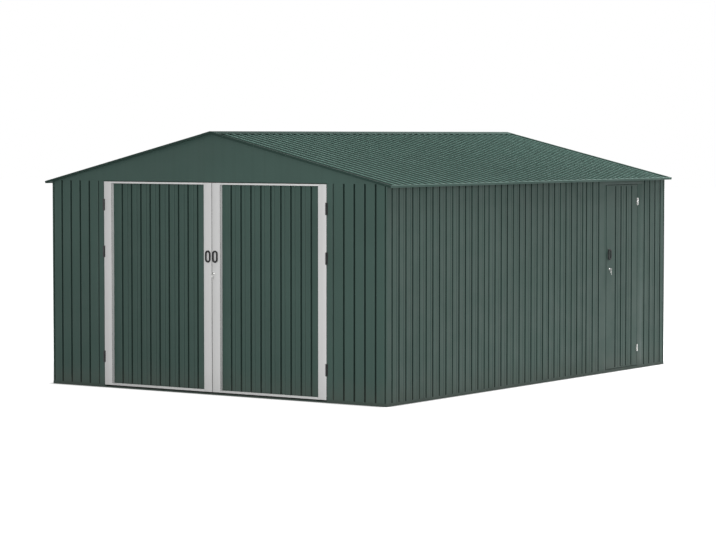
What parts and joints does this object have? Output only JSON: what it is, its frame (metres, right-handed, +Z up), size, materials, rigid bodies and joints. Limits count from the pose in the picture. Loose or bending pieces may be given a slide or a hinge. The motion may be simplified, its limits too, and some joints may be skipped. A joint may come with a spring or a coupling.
{
  "type": "metal garage",
  "caption": "Gable-roofed steel garage with ribbed green walls and roof, white-framed double front doors and a ribbed side door.",
  "frame": {"origin": "centre of the footprint on the ground", "axes": "+Z up, -Y out of the double front doors, +X out of the wall with the side door"},
  "size_m": [3.8746, 5.11, 2.35],
  "materials": {
    "green_wall": "satin coated steel",
    "green_roof": "satin coated steel",
    "green_door": "satin coated steel",
    "green_base": "satin coated steel",
    "white_frame": "satin coated steel",
    "galvanised_frame": "galvanised",
    "black_hinge": "semi-gloss black",
    "black_pull": "moulded black",
    "bright_steel": "bright plated"
  },
  "bodies": {
    "shell": {"base_rail_front": "green_base", "base_rail_rear": "green_base", "base_rail_left": "green_base", "base_rail_right": "green_base", "corner_posts": "green_wall", "front_door_posts": "green_wall", "side_door_posts": "green_wall", "front_header": "green_wall", "wall_rails": "green_wall", "front_wall_left": "green_wall", "front_wall_right": "green_wall", "left_wall": "green_wall", "right_wall_front": "green_wall", "right_wall_rear": "green_wall", "side_door_header": "green_wall", "rear_wall": "green_wall", "front_gable": "green_wall", "rear_gable": "green_wall", "purlins": "galvanised_frame", "rafters": "galvanised_frame", "tie_beams": "galvanised_frame", "roof_left": "green_roof", "roof_right": "green_roof", "ridge_cap": "green_roof", "eave_trims": "green_roof", "verge_trims": "green_roof", "front_hinge_plates": "black_hinge", "side_hinge_plates": "bright_steel"},
    "left_leaf": {"left_leaf_stiles": "white_frame", "left_leaf_rails": "white_frame", "left_leaf_panel": "green_door", "left_leaf_handle": "black_pull", "left_leaf_hinges": "black_hinge"},
    "right_leaf": {"right_leaf_stiles": "white_frame", "right_leaf_rails": "white_frame", "right_leaf_panel": "green_door", "right_leaf_handle": "black_pull", "right_leaf_hinges": "black_hinge", "right_leaf_lock": "bright_steel"},
    "side_leaf": {"side_leaf_stiles": "green_door", "side_leaf_rails": "green_door", "side_leaf_panel": "green_door", "side_leaf_handle": "black_pull", "side_leaf_hinges": "bright_steel", "side_leaf_lock": "bright_steel"}
  },
  "joints": [
    {"name": "left_leaf_hinge", "type": "hinge", "parent": "shell", "child": "left_leaf", "pos_m": [-1.2475, -2.531, 1], "axis": [0, 0, -1], "range_deg": [0, 110]},
    {"name": "right_leaf_hinge", "type": "hinge", "parent": "shell", "child": "right_leaf", "pos_m": [1.2475, -2.531, 1], "axis": [0, 0, 1], "range_deg": [0, 110]},
    {"name": "side_leaf_hinge", "type": "hinge", "parent": "shell", "child": "side_leaf", "pos_m": [1.877, 1.9475, 1], "axis": [0, 0, 1], "range_deg": [0, 110]}
  ]
}
